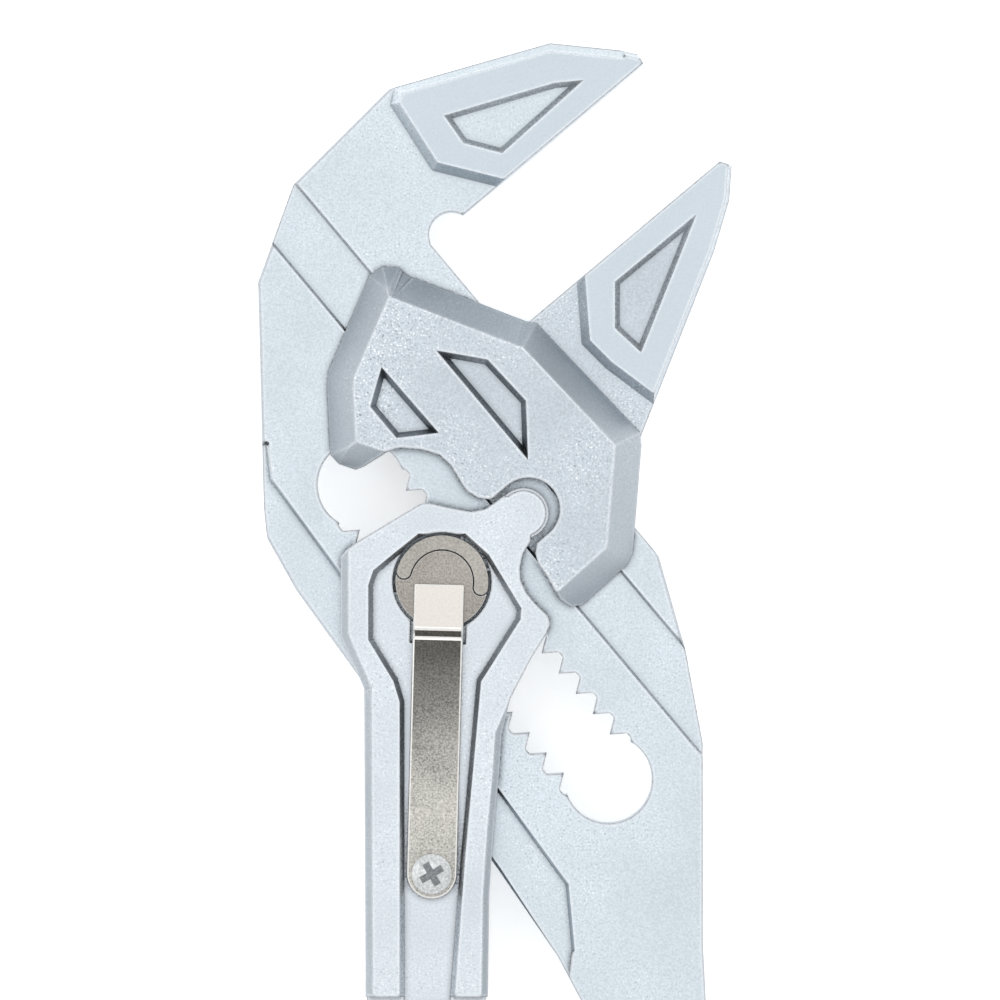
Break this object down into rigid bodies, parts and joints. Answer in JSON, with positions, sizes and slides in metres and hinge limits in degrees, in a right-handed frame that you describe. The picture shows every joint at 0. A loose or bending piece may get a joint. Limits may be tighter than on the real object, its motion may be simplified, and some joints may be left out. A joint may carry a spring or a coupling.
{
  "type": "pliers wrench",
  "caption": "Adjustable pliers wrench with smooth parallel jaws, a toothed slot, a push-button pivot lock with its leaf spring, and two sleeved handles",
  "frame": {"origin": "on the bench, under the middle of the whole tool, at the level of the rear faces on which it lies", "axes": "+Y from the handle ends towards the jaws, +Z from the rear of the tool to its front, +X to the right seen from the front"},
  "size_m": [0.0808, 0.2493, 0.016],
  "materials": {
    "plated_steel": "satin plated",
    "pivot_steel": "warm nickel, grainy",
    "spring_steel": "warm nickel, bright edges",
    "screw_zinc": "bright zinc",
    "grip": "dipped, matt"
  },
  "bodies": {
    "main_lever": {"main_lever": "plated_steel", "main_grip": "grip"},
    "pivot": {"pivot_sleeve": "pivot_steel"},
    "front_handle": {"front_handle": "plated_steel", "spring_screw": "screw_zinc", "front_grip": "grip"},
    "sliding_jaw": {"sliding_jaw": "plated_steel"},
    "lock_bolt": {"lock_bolt": "pivot_steel"},
    "leaf_spring": {"leaf_spring": "spring_steel"}
  },
  "joints": [
    {"name": "jaw_adjust", "type": "slide", "parent": "main_lever", "child": "pivot", "axis": [0.6428, -0.766, 0], "range_m": [-0.0146, 0.03285]},
    {"name": "handle_pivot", "type": "hinge", "parent": "pivot", "child": "front_handle", "pos_m": [-0.015, 0.0506, 0.0076], "axis": [0, 0, 1], "range_deg": [-12, 4]},
    {"name": "jaw_stroke", "type": "slide", "parent": "pivot", "child": "sliding_jaw", "axis": [0.6428, -0.766, 0], "range_m": [-0.0011, 0.0031]},
    {"name": "lock_press", "type": "slide", "parent": "pivot", "child": "lock_bolt", "axis": [0, 0, 1], "range_m": [-0.0022, 0]},
    {"name": "leaf_flex", "type": "hinge", "parent": "front_handle", "child": "leaf_spring", "pos_m": [-0.01649, 0.00705, 0.0132], "axis": [0.9997, -0.0262, 0], "range_deg": [-2.86, 0.05]}
  ],
  "couplings": [
    {"joint": "jaw_stroke", "follows": "handle_pivot", "m_per_rad": -0.0146},
    {"joint": "leaf_flex", "follows": "lock_press", "rad_per_m": 22.553}
  ]
}
